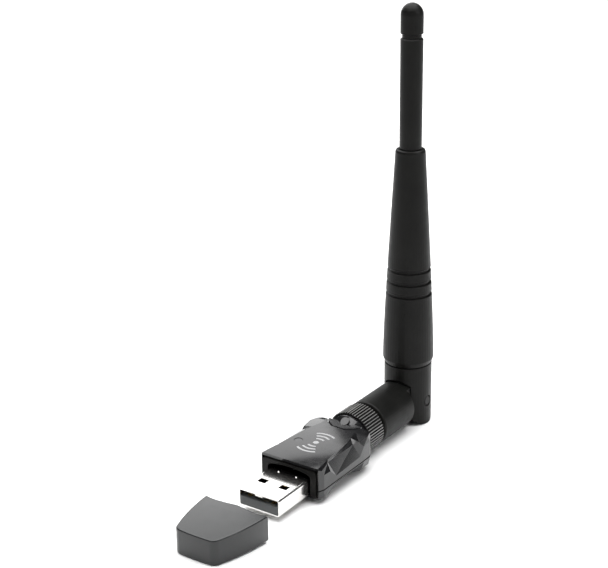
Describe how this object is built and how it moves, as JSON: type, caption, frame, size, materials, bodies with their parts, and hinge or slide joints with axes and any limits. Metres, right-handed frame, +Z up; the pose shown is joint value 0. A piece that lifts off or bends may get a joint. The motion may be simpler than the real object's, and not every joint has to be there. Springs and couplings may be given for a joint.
{
  "type": "usb wifi adapter",
  "caption": "USB stick wifi adapter: faceted gloss housing, USB type A plug, pull-off cap and a screw-on antenna that swivels and tilts.",
  "frame": {"origin": "centre of the USB plug at the front face of its tongue", "axes": "+X along the plug towards the antenna, +Y to the adapter's left, +Z up along the raised antenna"},
  "size_m": [0.1012, 0.0184, 0.115],
  "materials": {
    "gloss_black": "piano-black gloss",
    "satin_black": "satin",
    "nickel": "bright nickel plate",
    "grey_plastic": "moulded matte",
    "gold": "gold flash",
    "board_green": "solder mask",
    "chip_black": "moulded matte",
    "steel": "satin",
    "white_plastic": "moulded matte",
    "smoked_lens": "clear smoked gloss",
    "coax_brown": "smooth jacket"
  },
  "bodies": {
    "adapter": {"usb_shell": "nickel", "usb_tongue": "grey_plastic", "usb_contact_vbus": "gold", "usb_contact_data_minus": "gold", "usb_contact_data_plus": "gold", "usb_contact_ground": "gold", "top_cover": "gloss_black", "bottom_shell": "gloss_black", "front_bezel": "satin_black", "led_window": "smoked_lens", "circuit_board": "board_green", "wifi_chip": "chip_black", "crystal": "steel", "regulator": "chip_black", "status_led": "white_plastic", "antenna_jack": "gold", "jack_insulator": "white_plastic", "jack_pin": "gold", "plug_core": "gold", "plug_insulator": "white_plastic", "plug_socket": "gold"},
    "cap": {"cap": "gloss_black"},
    "nut": {"nut_sleeve": "satin_black", "nut_insert": "gold"},
    "barrel": {"swivel_barrel": "satin_black", "hinge_pin_right": "satin_black", "hinge_pin_left": "satin_black", "feed_lead": "coax_brown"},
    "mast": {"hinge_knuckle": "satin_black", "mast_sleeve": "satin_black", "whip_rod": "satin_black", "tip_cap": "satin_black", "feed_cable": "coax_brown", "radiator_sleeve": "gold", "radiator_wire": "gold"}
  },
  "joints": [
    {"name": "cap_slide", "type": "slide", "parent": "adapter", "child": "cap", "axis": [1, 0, 0], "range_m": [0, 0.021]},
    {"name": "nut_spin", "type": "hinge", "parent": "adapter", "child": "nut", "pos_m": [0.0435, 0, 0.001], "axis": [1, 0, 0], "continuous": true},
    {"name": "antenna_swivel", "type": "hinge", "parent": "adapter", "child": "barrel", "pos_m": [0.051, 0, 0.001], "axis": [1, 0, 0], "range_deg": [-180, 180]},
    {"name": "antenna_tilt", "type": "hinge", "parent": "barrel", "child": "mast", "pos_m": [0.0694, 0, 0.001], "axis": [0, 1, 0], "range_deg": [0, 90]}
  ]
}
